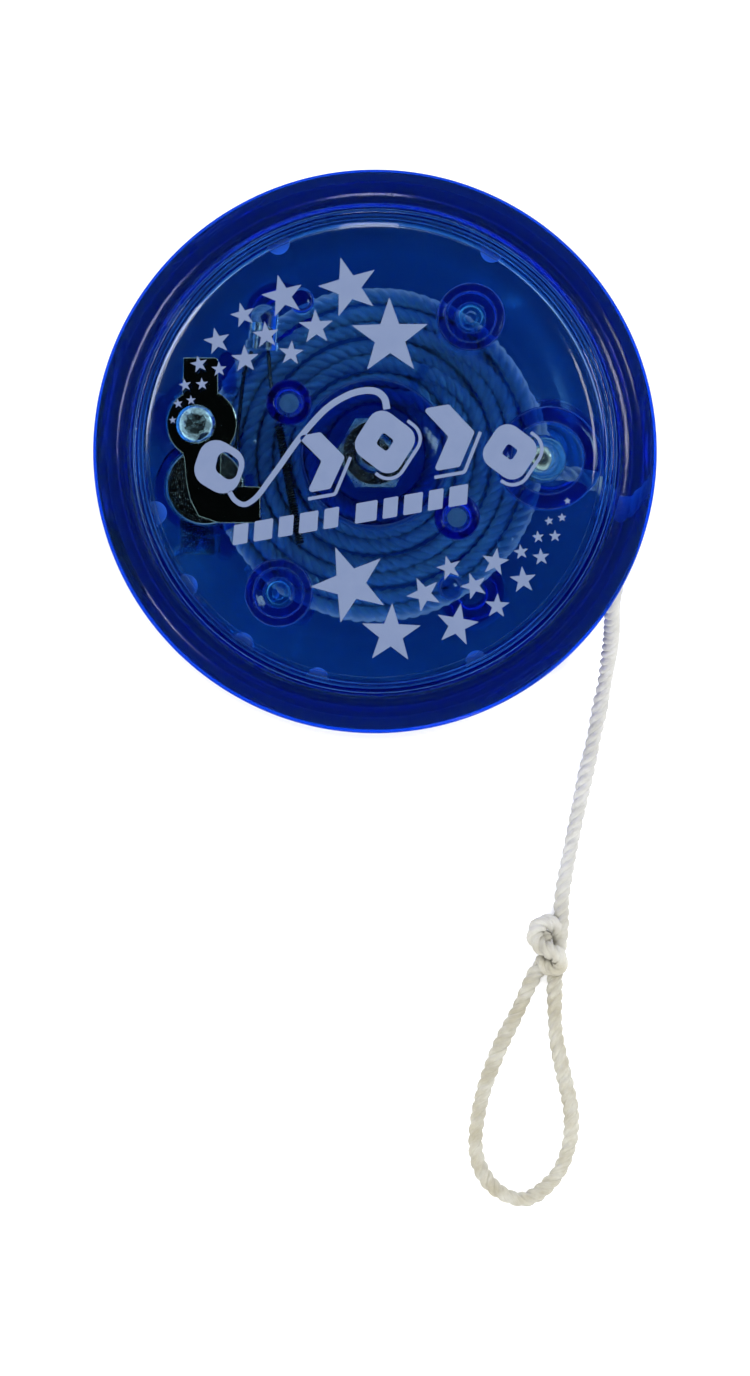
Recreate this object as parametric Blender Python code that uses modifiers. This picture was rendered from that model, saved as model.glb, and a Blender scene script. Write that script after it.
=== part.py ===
"""Light-up yo-yo, lying on its rear rim.

Metres, +Z up. The axle stands along Z through the origin, which is the middle of the rear rim's
rest face. The string gap is halfway up. Both halves come from one mould: the rear half is the
front half turned half a turn about X, so both light modules are on the -X side, one above the
other, and both balls are on the +X side.
Inside a half, heights are measured from the middle of the string gap.
"""

import math

import bmesh
import bpy
from mathutils import Vector

MM = 0.001


def mm(*points):
    """The points' millimetres as metres."""
    return [tuple(value * MM for value in point) for point in points]


# Overall
RIM_RADIUS = 28.5 * MM
HALF_WIDTH = 17.0 * MM  # middle of the gap to the outer rim
GAP_AT_HUB = 2.3 * MM  # half of the string gap
GAP_AT_RIM = 2.85 * MM
CLEAR = 0.2 * MM  # between fixed pieces that rest on each other
TURN_STEPS = 64  # sides of the large turned pieces
SHARP_ANGLE = math.radians(40)

# Shell
FLOOR = 3.8 * MM
WALL_RADIUS = 23.2 * MM
LEDGE_HEIGHT = 14.8 * MM
RECESS_RADIUS = 24.7 * MM
FLAT_INNER = 25.0 * MM
FLAT_OUTER = 26.2 * MM
SUNK = 0.5 * MM  # how far a moulded feature starts below the floor's face
HUB_RADIUS = 7.6 * MM
HUB_TOP = 9.2 * MM
POCKET_FLOOR = 6.5 * MM
POCKET_FLATS = 8.0 * MM

# Lens
LENS_RADIUS = 24.45 * MM
LENS_TOP = 16.2 * MM
LENS_UNDERSIDE = 14.8 * MM
SKIRT_OUTER = 23.0 * MM
SKIRT_INNER = 22.4 * MM
SKIRT_BOTTOM = 14.0 * MM

# Axle (M4)
BOLT_RADIUS = 1.95 * MM
AXLE_HOLE = 2.2 * MM
HEX_FLATS = 7.0 * MM
BOLT_HEAD = 2.8 * MM
NUT_HEIGHT = 3.2 * MM
BOLT_TIP = 11.0 * MM
SLEEVE_RADIUS = 5.0 * MM
SLEEVE_HALF = 2.0 * MM

# Moulded features of a half
BOSSES = mm((9.7, 13.6), (-9.75, -14.3))
BOSS_RADIUS = 3.45 * MM
BOSS_TOP = 14.5 * MM
TUBES = mm((-8.7, 4.95), (8.3, -6.65))
TUBE_RADIUS = 2.45 * MM
TUBE_HOLE = 1.15 * MM
TUBE_BOTTOM = 8.6 * MM
PINS = mm((-7.5, 15.6), (7.7, -13.7))
PIN_RADIUS = 1.3 * MM
PIN_TOP = 8.5 * MM
RIB_COUNT = 28
RIB_INNER = 7.9 * MM
RIB_OUTER = 11.2 * MM
RIB_WIDTH = 0.5 * MM
RIB_HEIGHT = 0.25 * MM
STIFFENER_ANGLE = math.radians(60)

# Light module
CELL_AT = (-17.25 * MM, -3.45 * MM)
CELL_RADIUS = 3.95 * MM
CELL_HEIGHT = 3.6 * MM
CELL_BOTTOMS = (4.6 * MM, 8.35 * MM)
CELL_WALL_INNER = 4.15 * MM
CELL_WALL_OUTER = 5.0 * MM
CELL_WALL_TOP = 11.0 * MM
PLATE_LOW = 12.1 * MM
PLATE_HIGH = 12.5 * MM
SCREW_AT = (-18.15 * MM, 2.8 * MM)
SCREW_HEAD = 2.0 * MM
SCREW_SHANK = 1.0 * MM
LED_BASE = (-11.65 * MM, 10.6 * MM, 5.75 * MM)
LED_TIP = (-11.15 * MM, 15.3 * MM, 5.75 * MM)
LED_RADIUS = 1.45 * MM
LEG_RADIUS = 0.22 * MM
SPRING_ROOT = (-9.8 * MM, 2.9 * MM, 7.5 * MM)
SPRING_TIP = (-7.65 * MM, -9.35 * MM, 7.5 * MM)
SPRING_OUTER = 0.43 * MM
SPRING_INNER = 0.23 * MM
BALL_RADIUS = 2.5 * MM
BALL_AT = (17.05 * MM, -0.55 * MM, 6.45 * MM)
BALL_POCKET_AT = (17.6 * MM, -0.55 * MM)
BALL_POCKET_INNER = 3.6 * MM
BALL_POCKET_OUTER = 5.3 * MM
BALL_POCKET_TOP = 10.5 * MM

# String: 14 turns on the sleeve, then the free end, a knot and the finger loop
STRING_RADIUS = 0.85 * MM
WINDING_INNER = 5.2 * MM
WINDING_OUTER = 17.2 * MM
WINDING_HALF = 1.75 * MM
TAIL_ROUTE = mm(
    (18.4, -1.6, 15.9),
    (20.8, -2.0, 15.7),
    (23.1, -3.4, 15.5),
    (24.7, -6.4, 15.4),
    (25.3, -9.8, 15.1),
    (25.0, -12.8, 14.3),
    (24.6, -15.2, 12.7),
    (24.6, -17.0, 10.2),
    (24.6, -18.9, 7.2),
    (24.3, -21.5, 4.2),
    (23.8, -24.8, 2.2),
    (22.9, -29.5, 1.2),
    (21.7, -35.0, 0.95),
    (20.5, -40.9, 0.95),
    (19.5, -45.4, 0.95),
    (18.9, -47.7, 1.1),
)
LOOP_ROUTE = mm(
    (16.8, -54.9, 1.05),
    (15.2, -57.8, 0.95),
    (13.0, -62.1, 0.95),
    (11.1, -67.8, 0.95),
    (10.7, -73.2, 0.95),
    (12.6, -76.9, 0.95),
    (15.8, -77.9, 0.95),
    (18.9, -75.6, 0.95),
    (20.5, -72.2, 0.95),
    (20.9, -68.4, 0.95),
    (20.3, -64.2, 0.95),
    (19.4, -59.6, 0.95),
    (19.1, -54.9, 1.05),
)
KNOT_AT = (18.1 * MM, -51.3 * MM, 1.45 * MM)
KNOT_SIZE = (2.1 * MM, 3.1 * MM, 1.35 * MM)


# Scene and materials


def clear_scene():
    for obj in list(bpy.data.objects):
        bpy.data.objects.remove(obj)


def collection(name):
    made = bpy.data.collections.new(name)
    bpy.context.scene.collection.children.link(made)
    return made


def material(name, colour, roughness, metallic=0.0, transmission=0.0):
    made = bpy.data.materials.new(name)
    made.use_nodes = True
    shader = made.node_tree.nodes["Principled BSDF"]
    shader.inputs["Base Color"].default_value = (*colour, 1.0)
    shader.inputs["Roughness"].default_value = roughness
    shader.inputs["Metallic"].default_value = metallic
    shader.inputs["Transmission Weight"].default_value = transmission
    made.diffuse_color = (*colour, 1.0)
    return made


# Modelling helpers


def place(name, mesh, location=(0, 0, 0)):
    """An object of this mesh, among the parts."""
    obj = bpy.data.objects.new(name, mesh)
    obj.location = location
    PARTS.objects.link(obj)
    return obj


def sharp_edges_nodes():
    """A geometry node group that leaves edges steeper than SHARP_ANGLE sharp."""
    group = bpy.data.node_groups.new("sharp_edges", "GeometryNodeTree")
    group.is_modifier = True
    for way in ("INPUT", "OUTPUT"):
        group.interface.new_socket(
            "Geometry", in_out=way, socket_type="NodeSocketGeometry"
        )
    start = group.nodes.new("NodeGroupInput")
    angle = group.nodes.new("GeometryNodeInputMeshEdgeAngle")
    steep = group.nodes.new("FunctionNodeCompare")
    steep.operation = "GREATER_THAN"
    steep.inputs["B"].default_value = SHARP_ANGLE
    sharpen = group.nodes.new("GeometryNodeSetShadeSmooth")
    sharpen.domain = "EDGE"
    sharpen.inputs["Shade Smooth"].default_value = False
    end = group.nodes.new("NodeGroupOutput")
    group.links.new(start.outputs["Geometry"], sharpen.inputs["Geometry"])
    group.links.new(angle.outputs["Unsigned Angle"], steep.inputs["A"])
    group.links.new(steep.outputs["Result"], sharpen.inputs["Selection"])
    group.links.new(sharpen.outputs["Geometry"], end.inputs["Geometry"])
    return group


def turned(name, profile, steps, ring=False, location=(0, 0, 0)):
    """A profile of (radius, height) points turned about Z. It runs down the outer side.

    A ring's profile closes on itself, and any other starts and ends on the axis.
    """
    mesh = bpy.data.meshes.new(name)
    shape = bmesh.new()
    corners = [shape.verts.new((radius, 0, height)) for radius, height in profile]
    for first, second in zip(corners, corners[1:]):
        shape.edges.new((first, second))
    if ring:
        shape.edges.new((corners[-1], corners[0]))
    shape.to_mesh(mesh)
    shape.free()
    obj = place(name, mesh, location)
    screw = obj.modifiers.new("turn", "SCREW")
    screw.steps = steps
    screw.render_steps = steps
    screw.use_merge_vertices = True
    screw.merge_threshold = 0.00001
    screw.use_smooth_shade = True
    return obj


def tube_wall(name, outer, inner, low, high, at, steps=24):
    """A round wall standing at a place."""
    profile = [(outer, high), (outer, low), (inner, low), (inner, high)]
    return turned(name, profile, steps, ring=True, location=(*at, 0))


def rod(name, radius, low, high, at=(0, 0), steps=24):
    mesh = bpy.data.meshes.new(name)
    shape = bmesh.new()
    bmesh.ops.create_cone(
        shape,
        cap_ends=True,
        segments=steps,
        radius1=radius,
        radius2=radius,
        depth=high - low,
    )
    shape.to_mesh(mesh)
    shape.free()
    mesh.shade_smooth()
    return place(name, mesh, (*at, (low + high) / 2))


def block(name, size, centre, angle=0.0):
    mesh = bpy.data.meshes.new(name)
    shape = bmesh.new()
    bmesh.ops.create_cube(shape, size=1.0)
    bmesh.ops.scale(shape, vec=size, verts=shape.verts)
    shape.to_mesh(mesh)
    shape.free()
    obj = place(name, mesh, centre)
    obj.rotation_euler.z = angle
    return obj


def meshed(name, curve, location=(0, 0, 0)):
    """A curve's solid as a mesh object, with its caps welded on."""
    source = bpy.data.objects.new(name + "_curve", curve)
    bpy.context.scene.collection.objects.link(source)
    bpy.context.view_layer.update()
    graph = bpy.context.evaluated_depsgraph_get()
    mesh = bpy.data.meshes.new_from_object(source.evaluated_get(graph))
    mesh.name = name
    shape = bmesh.new()
    shape.from_mesh(mesh)
    bmesh.ops.remove_doubles(shape, verts=shape.verts, dist=0.000001)
    bmesh.ops.recalc_face_normals(shape, faces=shape.faces)
    shape.to_mesh(mesh)
    shape.free()
    mesh.shade_smooth()
    bpy.data.objects.remove(source)
    return place(name, mesh, location)


def poly_spline(curve, points, cyclic=False):
    spline = curve.splines.new("POLY")
    spline.points.add(len(points) - 1)
    for target, point in zip(spline.points, points):
        target.co = (*point, 1.0)
    spline.use_cyclic_u = cyclic


def slab(name, outline, low, high, holes=()):
    """A flat outline of (x, y) points, with its holes, between two heights."""
    curve = bpy.data.curves.new(name, "CURVE")
    curve.dimensions = "2D"
    curve.fill_mode = "BOTH"
    curve.extrude = (high - low) / 2
    for loop in (outline, *holes):
        poly_spline(curve, [(x, y, 0) for x, y in loop], cyclic=True)
    return meshed(name, curve, (0, 0, (low + high) / 2))


def smooth_route(route, spacing):
    """Points about this far apart on a smooth curve through the route's points."""
    points = [Vector(point) for point in route]
    ends = [2 * points[0] - points[1], *points, 2 * points[-1] - points[-2]]
    smooth = []
    for before, start, end, after in zip(ends, ends[1:], ends[2:], ends[3:]):
        steps = max(1, round((end - start).length / spacing))
        for step in range(steps):
            t = step / steps
            smooth.append(
                0.5
                * (
                    2 * start
                    + (end - before) * t
                    + (2 * before - 5 * start + 4 * end - after) * t**2
                    + (3 * start - before - 3 * end + after) * t**3
                )
            )
    return [*smooth, points[-1]]


def wire(name, points, radius):
    curve = bpy.data.curves.new(name, "CURVE")
    curve.dimensions = "3D"
    curve.bevel_depth = radius
    curve.bevel_resolution = 2
    curve.use_fill_caps = True
    poly_spline(curve, points)
    return meshed(name, curve)


def arc(centre, radius, start, end, steps):
    """Points from one angle to the other, in degrees, both ends in."""
    angles = [math.radians(start + (end - start) * i / steps) for i in range(steps + 1)]
    return [
        (centre[0] + radius * math.cos(a), centre[1] + radius * math.sin(a))
        for a in angles
    ]


def circle(centre, radius, steps):
    return arc(centre, radius, 0, 360, steps)[:-1]


def hexagon(flats):
    """A hexagon about the axis with flats at the bottom and the top."""
    return circle((0, 0), flats / math.sqrt(3), 6)


def boolean(obj, tool, operation):
    """A Boolean with a tool that isn't a part itself."""
    modifier = obj.modifiers.new(tool.name, "BOOLEAN")
    modifier.operation = operation
    modifier.solver = "EXACT"
    modifier.object = tool
    PARTS.objects.unlink(tool)
    CUTTERS.objects.link(tool)
    tool.hide_render = True
    tool.display_type = "WIRE"
    tool.parent = obj.parent
    return tool


def finish(obj, look, half=None):
    """Gives the part its material, its sharp edges and its half, which its tools join too."""
    obj.data.materials.clear()
    obj.data.materials.append(look)
    obj.modifiers.new("sharp_edges", "NODES").node_group = SHARP_EDGES
    obj.parent = half
    for modifier in obj.modifiers:
        if modifier.type == "BOOLEAN":
            modifier.object.parent = half
    return obj


# Shell


def shell_profile():
    return [
        (FLAT_OUTER, HALF_WIDTH),
        *mm((27.3, 16.6), (28.1, 15.6)),
        (RIM_RADIUS, 14.0 * MM),
        (RIM_RADIUS, 8.0 * MM),
        *mm((28.25, 6.2), (27.5, 4.5), (26.0, 3.2)),
        (24.0 * MM, GAP_AT_RIM),
        (17.6 * MM, GAP_AT_HUB),
        (AXLE_HOLE, GAP_AT_HUB),
        (AXLE_HOLE, HUB_TOP),
        (HUB_RADIUS, HUB_TOP),
        (HUB_RADIUS, FLOOR),
        (WALL_RADIUS - 0.5 * MM, FLOOR),
        (WALL_RADIUS, FLOOR + 0.6 * MM),
        (WALL_RADIUS, LEDGE_HEIGHT),
        (RECESS_RADIUS, LEDGE_HEIGHT),
        (RECESS_RADIUS, HALF_WIDTH - 0.5 * MM),
        (FLAT_INNER, HALF_WIDTH),
    ]


def starburst(name):
    """Radial ribs on the string side, on a low ring, which grip the string."""
    outline = []
    half_rib = RIB_WIDTH / 2
    for index in range(RIB_COUNT):
        angle = 2 * math.pi * index / RIB_COUNT
        along = (math.cos(angle), math.sin(angle))
        for radius, side in (
            (RIB_INNER, -half_rib),
            (RIB_OUTER, -half_rib),
            (RIB_OUTER, half_rib),
            (RIB_INNER, half_rib),
        ):
            outline.append(
                (radius * along[0] - side * along[1], radius * along[1] + side * along[0])
            )
    hole = circle((0, 0), RIB_INNER - 2.0 * MM, RIB_COUNT)
    low = GAP_AT_HUB - RIB_HEIGHT
    return slab(name, outline, low, GAP_AT_HUB + SUNK, holes=[hole])


def boss(name, at):
    """A tubular boss with a stepped mouth."""
    profile = [
        (BOSS_RADIUS, BOSS_TOP),
        (BOSS_RADIUS, FLOOR - SUNK),
        (1.5 * MM, FLOOR - SUNK),
        (1.5 * MM, BOSS_TOP - 2.0 * MM),
        (2.5 * MM, BOSS_TOP - 2.0 * MM),
        (2.5 * MM, BOSS_TOP),
    ]
    return turned(name, profile, 20, ring=True, location=(*at, 0))


def solid_pin(name, at):
    profile = [
        (0, PIN_TOP),
        (PIN_RADIUS - 0.4 * MM, PIN_TOP - 0.1 * MM),
        (PIN_RADIUS, PIN_TOP - 0.5 * MM),
        (PIN_RADIUS, FLOOR - SUNK),
        (0, FLOOR - SUNK),
    ]
    return turned(name, profile, 12, location=(*at, 0))


def cell_wall(name):
    """The curved wall round the cells, open where the LED's leg comes in."""
    outline = arc(CELL_AT, CELL_WALL_OUTER, 105, 375, 18)
    outline += arc(CELL_AT, CELL_WALL_INNER, 375, 105, 18)
    return slab(name, outline, FLOOR - SUNK, CELL_WALL_TOP)


def locating_block(name):
    """The long moulded block between the plate's tab and the LED's leg."""
    ends = mm((-15.0, 9.4), (-14.75, 6.6))
    outline = arc(ends[0], 0.8 * MM, 0, 180, 6) + arc(ends[1], 0.7 * MM, 180, 360, 6)
    return slab(name, outline, FLOOR - SUNK, PLATE_LOW - 2 * CLEAR)


def stiffener(name):
    """One heavy rib beside the hub."""
    inner = HUB_RADIUS - SUNK
    outer = 10.3 * MM
    middle = (inner + outer) / 2
    centre = (
        middle * math.cos(STIFFENER_ANGLE),
        middle * math.sin(STIFFENER_ANGLE),
        (FLOOR - SUNK + 6.5 * MM) / 2,
    )
    size = (outer - inner, 1.0 * MM, 6.5 * MM - FLOOR + SUNK)
    return block(name, size, centre, STIFFENER_ANGLE)


def shell(side, half):
    obj = turned(side + "_shell", shell_profile(), TURN_STEPS, ring=True)
    features = [
        starburst(side + "_starburst"),
        cell_wall(side + "_cell_wall"),
        locating_block(side + "_locating_block"),
        stiffener(side + "_stiffener"),
        tube_wall(
            side + "_ball_wall",
            BALL_POCKET_OUTER,
            BALL_POCKET_INNER,
            FLOOR - SUNK,
            BALL_POCKET_TOP,
            BALL_POCKET_AT,
        ),
        tube_wall(
            side + "_screw_post",
            2.1 * MM,
            SCREW_SHANK + CLEAR,
            FLOOR - SUNK,
            PLATE_LOW - CLEAR,
            SCREW_AT,
            12,
        ),
    ]
    for index, at in enumerate(BOSSES):
        features.append(boss(f"{side}_boss_{index}", at))
    for index, at in enumerate(PINS):
        features.append(solid_pin(f"{side}_pin_{index}", at))
    for feature in features:
        boolean(obj, feature, "UNION")
    pocket = slab(side + "_pocket", hexagon(POCKET_FLATS), POCKET_FLOOR, HUB_TOP + SUNK)
    boolean(obj, pocket, "DIFFERENCE")
    return finish(obj, BLUE_SHELL, half)


# Lens


def lens(side, half):
    edge = LENS_UNDERSIDE + CLEAR
    profile = [
        (0, LENS_TOP),
        (LENS_RADIUS - 0.5 * MM, LENS_TOP),
        (LENS_RADIUS, LENS_TOP - 0.4 * MM),
        (LENS_RADIUS, edge),
        (SKIRT_OUTER, edge),
        (SKIRT_OUTER, SKIRT_BOTTOM),
        (SKIRT_INNER, SKIRT_BOTTOM),
        (SKIRT_INNER, LENS_UNDERSIDE),
        (0, LENS_UNDERSIDE),
    ]
    obj = turned(side + "_lens", profile, TURN_STEPS)
    joined = LENS_UNDERSIDE + SUNK
    for index, at in enumerate(TUBES):
        name = f"{side}_lens_tube_{index}"
        tube = tube_wall(name, TUBE_RADIUS, TUBE_HOLE, TUBE_BOTTOM, joined, at, 16)
        boolean(obj, tube, "UNION")
    for index, at in enumerate(BOSSES):
        name = f"{side}_lens_peg_{index}"
        peg = tube_wall(name, 1.2 * MM, 0.6 * MM, 10.5 * MM, joined, at, 12)
        boolean(obj, peg, "UNION")
    return finish(obj, BLUE_LENS, half)


# Light module


def contact_plate(side, half):
    """Sheet steel: an upright tab, a round eye for the screw, a tongue over the cells and a
    turned-down end that the spring strikes."""
    eye = (-17.55 * MM, 2.85 * MM)
    outline = [
        *mm((-15.9, 5.9), (-15.9, 9.3), (-16.15, 9.55), (-19.2, 9.55), (-19.45, 9.3)),
        *arc(eye, 3.55 * MM, 123, 237, 8),
        *mm((-19.35, -0.6), (-19.1, -3.2), (-18.7, -4.9), (-17.9, -6.5), (-15.9, -7.2)),
        *mm((-11.5, -7.2), (-11.5, -3.55), (-14.9, -3.4), (-15.6, -2.5), (-15.6, -0.4)),
        *arc(eye, 3.55 * MM, -47, 60, 8),
    ]
    hole = circle(SCREW_AT, SCREW_SHANK + CLEAR, 12)
    obj = slab(side + "_contact_plate", outline, PLATE_LOW, PLATE_HIGH, holes=[hole])
    thickness = PLATE_HIGH - PLATE_LOW
    bottom = 5.6 * MM
    end = block(
        side + "_plate_end",
        (thickness, 3.65 * MM, PLATE_HIGH - 0.1 * MM - bottom),
        (-11.5 * MM - thickness / 2, -5.375 * MM, (PLATE_HIGH - 0.1 * MM + bottom) / 2),
    )
    boolean(obj, end, "UNION")
    return finish(obj, BLACK_STEEL, half)


def contact_screw(side, half):
    seat = PLATE_HIGH + CLEAR
    profile = [
        (0, seat + 1.2 * MM),
        (1.1 * MM, seat + 1.05 * MM),
        (1.8 * MM, seat + 0.6 * MM),
        (SCREW_HEAD, seat),
        (SCREW_SHANK, seat),
        (SCREW_SHANK, seat - 6.0 * MM),
        (0, seat - 6.8 * MM),
    ]
    obj = turned(side + "_contact_screw", profile, 16, location=(*SCREW_AT, 0))
    for index, angle in enumerate((35, 125)):
        centre = (*SCREW_AT, seat + 0.95 * MM)
        size = (2.2 * MM, 0.45 * MM, 1.3 * MM)
        slot = block(f"{side}_slot_{index}", size, centre, math.radians(angle))
        boolean(obj, slot, "DIFFERENCE")
    return finish(obj, SCREW_STEEL, half)


def cell(name, half, bottom):
    """A button cell, flat positive face up."""
    top = bottom + CELL_HEIGHT
    profile = [
        (0, top),
        (CELL_RADIUS - 0.25 * MM, top),
        (CELL_RADIUS, top - 0.25 * MM),
        (CELL_RADIUS, bottom + 0.5 * MM),
        (CELL_RADIUS - 0.7 * MM, bottom + 0.2 * MM),
        (CELL_RADIUS - 0.9 * MM, bottom),
        (0, bottom),
    ]
    return finish(turned(name, profile, 20, location=(*CELL_AT, 0)), CELL_STEEL, half)


def led(side, half):
    """Clear LED body, lying on its side with its dome away from the plate."""
    base = Vector(LED_BASE)
    reach = Vector(LED_TIP) - base
    profile = [
        (0, reach.length),
        (0.75 * MM, reach.length - 0.2 * MM),
        (1.25 * MM, reach.length - 0.7 * MM),
        (LED_RADIUS, reach.length - 1.4 * MM),
        (LED_RADIUS, 0.9 * MM),
        (LED_RADIUS + 0.25 * MM, 0.9 * MM),
        (LED_RADIUS + 0.25 * MM, 0),
        (0, 0),
    ]
    obj = turned(side + "_led", profile, 16, location=base)
    obj.rotation_euler = reach.to_track_quat("Z", "Y").to_euler()
    return finish(obj, CLEAR_RESIN, half)


def led_legs(side, half):
    """One leg runs under the cells, the other carries the switch spring."""
    cell_leg = mm(
        (-12.6, 10.25, 5.75),
        (-13.0, 9.3, 5.5),
        (-13.4, 8.2, 5.1),
        (-14.0, 3.0, 4.4),
        (-14.15, 1.4, 4.2),
        (-14.8, -0.2, 4.15),
        (-17.2, -3.4, 4.15),
    )
    switch_leg = mm(
        (-10.9, 10.1, 5.75),
        (-10.75, 8.6, 6.2),
        (-10.6, 7.0, 6.9),
        (-10.15, 4.8, 7.4),
        (-9.9, 3.45, 7.5),
    )
    for name, points in (("led_cell_leg", cell_leg), ("led_switch_leg", switch_leg)):
        finish(wire(f"{side}_{name}", points, LEG_RADIUS), LEG_STEEL, half)


def switch_spring(side, half):
    """The close-wound coil as a tube, from the hinge axis at its root to its free tip."""
    root = Vector(SPRING_ROOT)
    reach = Vector(SPRING_TIP) - root
    profile = [
        (SPRING_OUTER, reach.length),
        (SPRING_OUTER, 0),
        (SPRING_INNER, 0),
        (SPRING_INNER, reach.length),
    ]
    obj = turned(side + "_switch_spring", profile, 10, ring=True, location=root)
    obj.rotation_euler = reach.to_track_quat("Z", "Y").to_euler()
    return finish(obj, SPRING_STEEL, half)


def ball(side, half):
    mesh = bpy.data.meshes.new(side + "_ball")
    shape = bmesh.new()
    bmesh.ops.create_uvsphere(shape, u_segments=16, v_segments=10, radius=BALL_RADIUS)
    shape.to_mesh(mesh)
    shape.free()
    mesh.shade_smooth()
    return finish(place(side + "_weight_ball", mesh, BALL_AT), BALL_STEEL, half)


def half_yoyo(side, turn):
    """Everything that one half holds, under an empty at the middle of the string gap."""
    half = bpy.data.objects.new(side + "_half", None)
    PARTS.objects.link(half)
    half.location.z = HALF_WIDTH
    half.rotation_euler.x = turn
    shell(side, half)
    lens(side, half)
    contact_plate(side, half)
    contact_screw(side, half)
    for name, bottom in zip(("inner_cell", "outer_cell"), CELL_BOTTOMS):
        cell(f"{side}_{name}", half, bottom)
    led(side, half)
    led_legs(side, half)
    switch_spring(side, half)
    ball(side, half)


# Axle and string


def axle_bolt():
    """M4 bolt: its head sits in the rear hub, its tip stands through the front nut."""
    head_top = HALF_WIDTH - POCKET_FLOOR - CLEAR
    head = slab("axle_bolt", hexagon(HEX_FLATS), head_top - BOLT_HEAD, head_top)
    tip = HALF_WIDTH + BOLT_TIP
    boolean(head, rod("bolt_shank", BOLT_RADIUS, head_top - SUNK, tip), "UNION")
    return finish(head, ZINC_STEEL)


def axle_nut():
    bottom = HALF_WIDTH + POCKET_FLOOR + CLEAR
    hole = circle((0, 0), BOLT_RADIUS + 0.15 * MM, 24)
    nut = slab("axle_nut", hexagon(HEX_FLATS), bottom, bottom + NUT_HEIGHT, holes=[hole])
    return finish(nut, ZINC_STEEL)


def axle_sleeve():
    high = HALF_WIDTH + SLEEVE_HALF
    low = HALF_WIDTH - SLEEVE_HALF
    obj = tube_wall("axle_sleeve", SLEEVE_RADIUS, AXLE_HOLE, low, high, (0, 0))
    return finish(obj, SLEEVE_PLASTIC)


def string_winding():
    middle = HALF_WIDTH
    shoulder = WINDING_OUTER - 0.6 * MM
    profile = [
        (shoulder, middle + WINDING_HALF),
        (WINDING_OUTER, middle + WINDING_HALF / 2),
        (WINDING_OUTER, middle - WINDING_HALF / 2),
        (shoulder, middle - WINDING_HALF),
        (WINDING_INNER, middle - WINDING_HALF),
        (WINDING_INNER, middle + WINDING_HALF),
    ]
    return finish(turned("string_winding", profile, TURN_STEPS, ring=True), COTTON)


def string_knot():
    mesh = bpy.data.meshes.new("string_knot")
    shape = bmesh.new()
    bmesh.ops.create_uvsphere(shape, u_segments=12, v_segments=8, radius=1.0)
    bmesh.ops.scale(shape, vec=KNOT_SIZE, verts=shape.verts)
    shape.to_mesh(mesh)
    shape.free()
    mesh.shade_smooth()
    return finish(place("string_knot", mesh, KNOT_AT), COTTON)


def string():
    string_winding()
    string_knot()
    for name, route in (("string_tail", TAIL_ROUTE), ("string_loop", LOOP_ROUTE)):
        points = smooth_route(route, 5 * STRING_RADIUS)
        finish(wire(name, points, STRING_RADIUS), COTTON)


clear_scene()
PARTS = collection("light_up_yoyo")
CUTTERS = collection("cutters")
SHARP_EDGES = sharp_edges_nodes()
BLUE_SHELL = material("blue_shell", (0.01, 0.03, 0.42), 0.12, transmission=0.9)
BLUE_LENS = material("blue_lens", (0.12, 0.3, 0.8), 0.06, transmission=0.95)
BLACK_STEEL = material("black_steel", (0.02, 0.02, 0.018), 0.3, metallic=0.8)
SCREW_STEEL = material("screw_steel", (0.7, 0.7, 0.68), 0.22, metallic=1.0)
CELL_STEEL = material("cell_steel", (0.55, 0.55, 0.52), 0.25, metallic=1.0)
CLEAR_RESIN = material("clear_resin", (0.85, 0.9, 0.95), 0.04, transmission=1.0)
LEG_STEEL = material("leg_steel", (0.35, 0.35, 0.34), 0.35, metallic=1.0)
SPRING_STEEL = material("spring_steel", (0.45, 0.45, 0.46), 0.3, metallic=1.0)
BALL_STEEL = material("ball_steel", (0.8, 0.8, 0.8), 0.08, metallic=1.0)
ZINC_STEEL = material("zinc_steel", (0.5, 0.52, 0.55), 0.3, metallic=1.0)
SLEEVE_PLASTIC = material("sleeve_plastic", (0.85, 0.85, 0.82), 0.4)
COTTON = material("cotton", (0.9, 0.88, 0.82), 0.9)
half_yoyo("front", 0)
half_yoyo("rear", math.pi)
axle_bolt()
axle_nut()
axle_sleeve()
string()
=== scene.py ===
import math

import bmesh
import bpy
import numpy as np
from mathutils import Matrix, Vector


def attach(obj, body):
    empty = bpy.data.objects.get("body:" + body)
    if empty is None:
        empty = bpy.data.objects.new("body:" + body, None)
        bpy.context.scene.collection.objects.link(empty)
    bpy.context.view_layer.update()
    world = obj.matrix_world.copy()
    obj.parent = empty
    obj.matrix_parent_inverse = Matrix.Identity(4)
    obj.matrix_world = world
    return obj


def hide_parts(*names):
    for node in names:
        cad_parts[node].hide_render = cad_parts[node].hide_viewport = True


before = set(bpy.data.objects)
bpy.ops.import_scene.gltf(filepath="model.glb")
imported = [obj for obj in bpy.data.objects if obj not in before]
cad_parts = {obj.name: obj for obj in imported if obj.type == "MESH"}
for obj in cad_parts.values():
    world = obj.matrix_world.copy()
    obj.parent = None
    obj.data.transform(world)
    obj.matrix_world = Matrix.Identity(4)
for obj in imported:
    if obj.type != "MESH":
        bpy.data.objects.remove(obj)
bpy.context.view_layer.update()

# Lengths are in millimetres until a mesh is made. Inside a half, heights are measured from the
# middle of the string gap, and the rear half is the front half turned half a turn about X.
MM = 0.001
MIDDLE = 17.0
HALVES = {
    "front": Matrix.Translation((0, 0, MIDDLE * MM)),
    "rear": Matrix.Translation((0, 0, MIDDLE * MM)) @ Matrix.Rotation(math.pi, 4, "X"),
}
RANDOM = np.random.default_rng(7)


# Camera, floor and light. Lengths here are in metres.

CAMERA_AT = (0, -0.02392, 0.826)
CAMERA_ANGLE = 2 * math.atan(0.07004 / 0.8)
LIT_POINT = (0, -0.012, 0.01)
# How bright the sky is by height, from the horizon up. Straight above it is dark, so the metal
# parts look dark from above, as they do in the photograph.
SKY = ((0.0, 1.1), (0.3, 1.85), (0.76, 1.75), (0.84, 0.7), (0.9, 0.008))
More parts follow.
